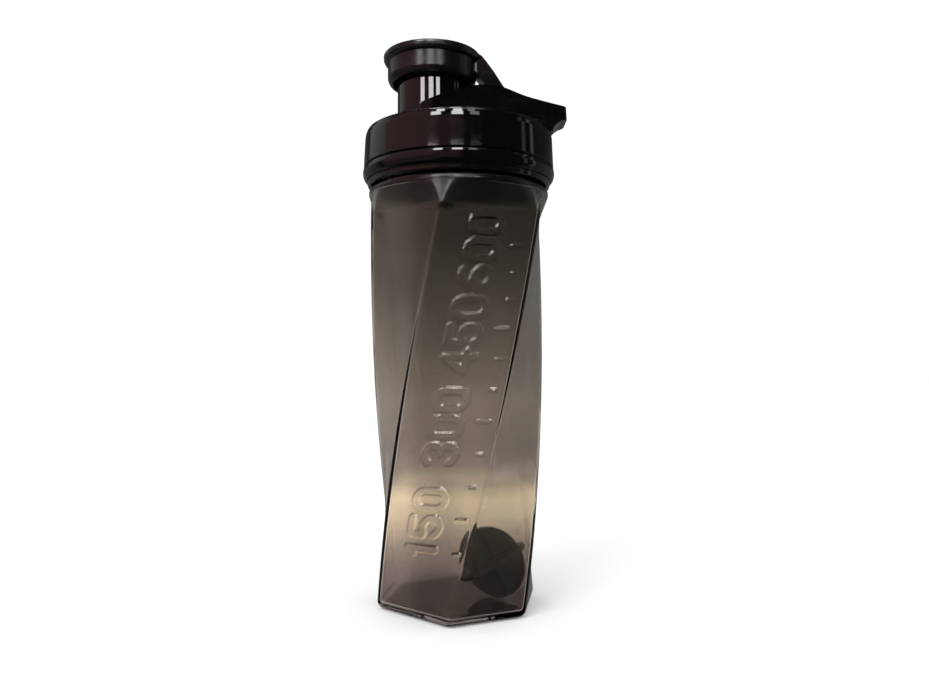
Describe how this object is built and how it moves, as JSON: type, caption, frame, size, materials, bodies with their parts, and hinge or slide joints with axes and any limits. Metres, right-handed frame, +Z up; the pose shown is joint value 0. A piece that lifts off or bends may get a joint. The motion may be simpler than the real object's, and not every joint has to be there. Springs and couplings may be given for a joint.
{
  "type": "shaker bottle",
  "caption": "Twisted six-sided clear shaker bottle with a screw lid, a hinged flip cap over a drinking spout and a loose crossed-disc agitator inside.",
  "frame": {"origin": "middle of the flat base, on the bottle's axis", "axes": "+Z up along the bottle's axis, -X towards the drinking spout, +X towards the flip cap's hinge and the tail"},
  "size_m": [0.0959, 0.0904, 0.2584],
  "materials": {
    "clear_plastic": "clear smoke-tinted moulded copolyester, glossy",
    "lid_black": "high-gloss moulded black plastic",
    "ring_black": "high-gloss moulded black plastic",
    "seal_rubber": "soft translucent grey silicone",
    "cap_black": "satin to gloss moulded black plastic",
    "plug_rubber": "soft black elastomer",
    "pin_steel": "plain stainless pin",
    "agitator_plastic": "matte moulded dark grey plastic"
  },
  "bodies": {
    "bottle": {"bottle_body": "clear_plastic"},
    "gasket": {"lid_gasket": "seal_rubber"},
    "lid": {"screw_lid": "lid_black", "lid_trim_ring": "ring_black", "hinge_pin": "pin_steel"},
    "cap": {"flip_cap": "cap_black", "spout_seal": "plug_rubber"},
    "agitator": {"agitator": "agitator_plastic"}
  },
  "joints": [
    {"name": "lid_lift", "type": "slide", "parent": "bottle", "child": "gasket", "axis": [0, 0, 1], "range_m": [0, 0.024]},
    {"name": "lid_turn", "type": "hinge", "parent": "gasket", "child": "lid", "pos_m": [0, 0, 0.21], "axis": [0, 0, 1], "range_deg": [0, 720]},
    {"name": "cap_hinge", "type": "hinge", "parent": "lid", "child": "cap", "pos_m": [0.019, 0, 0.2356], "axis": [0, 1, 0], "range_deg": [0, 110]},
    {"name": "agitator_rise", "type": "slide", "parent": "bottle", "child": "agitator", "axis": [-0.0833, 0.0163, 0.9964], "range_m": [0, 0.16]}
  ],
  "couplings": [
    {"joint": "lid_lift", "follows": "lid_turn", "m_per_rad": 0.0019099}
  ]
}
